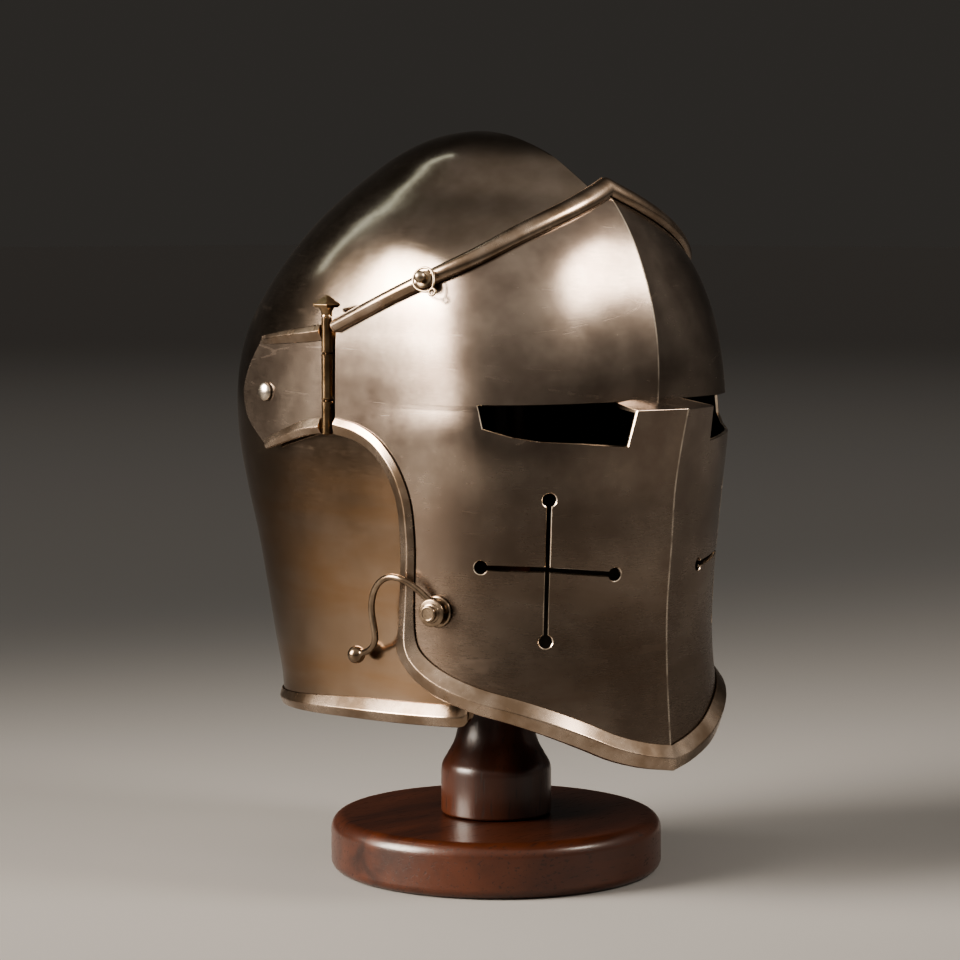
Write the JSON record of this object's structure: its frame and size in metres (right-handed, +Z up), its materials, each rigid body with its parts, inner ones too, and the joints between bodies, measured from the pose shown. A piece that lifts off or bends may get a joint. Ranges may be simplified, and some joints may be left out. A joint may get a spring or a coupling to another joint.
{
  "type": "visored barbute helmet on a turned wooden display stand",
  "caption": "Barbute with a keeled visor, level sights, cross-shaped breaths, side pivots and pin hinges, held on a turned wooden display stand with a round base.",
  "frame": {"origin": "centre of the underside of the stand's base, on the table", "axes": "+Z up along the stand's post, -Y towards the front of the helmet, -X the wearer's right"},
  "size_m": [0.201, 0.2719, 0.3682],
  "materials": {
    "brushed_steel": "satin-brushed steel with a thin brown patina",
    "rim_steel": "brighter ridged edging, brushed along its length",
    "fitting_steel": "bright turned and forged fittings",
    "aged_brass": "dull aged brass",
    "varnished_wood": "dark red-brown varnish"
  },
  "bodies": {
    "helmet_and_stand": {"skull": "brushed_steel", "skull_rim": "rim_steel", "pivot_rivet_left": "fitting_steel", "pivot_rivet_right": "fitting_steel", "stand_base": "varnished_wood", "stand_post": "varnished_wood", "stand_rest": "varnished_wood"},
    "visor": {"visor": "brushed_steel", "visor_top_rim": "rim_steel", "visor_lower_rim": "rim_steel", "spool": "fitting_steel", "peg": "fitting_steel", "peg_ring": "fitting_steel", "arm_left": "brushed_steel", "arm_top_rim_left": "rim_steel", "arm_lower_rim_left": "rim_steel", "knuckle_top_left": "aged_brass", "knuckle_middle_left": "aged_brass", "knuckle_bottom_left": "aged_brass", "arm_right": "brushed_steel", "arm_top_rim_right": "rim_steel", "arm_lower_rim_right": "rim_steel", "knuckle_top_right": "aged_brass", "knuckle_middle_right": "aged_brass", "knuckle_bottom_right": "aged_brass"},
    "hook": {"s_hook": "fitting_steel"},
    "pin_left": {"hinge_pin_left": "aged_brass"},
    "pin_right": {"hinge_pin_right": "aged_brass"}
  },
  "joints": [
    {"name": "visor_lift", "type": "hinge", "parent": "helmet_and_stand", "child": "visor", "pos_m": [0, 0.068, 0.24], "axis": [-1, 0, 0], "range_deg": [0, 60]},
    {"name": "hook_swivel", "type": "hinge", "parent": "visor", "child": "hook", "pos_m": [-0.08787, -0.04701, 0.141], "axis": [-0.9662, -0.257, -0.018], "range_deg": [-38, 20]},
    {"name": "pin_draw_left", "type": "slide", "parent": "visor", "child": "pin_left", "axis": [0, 0, 1], "range_m": [0, 0.062]},
    {"name": "pin_draw_right", "type": "slide", "parent": "visor", "child": "pin_right", "axis": [0, 0, 1], "range_m": [0, 0.062]}
  ]
}
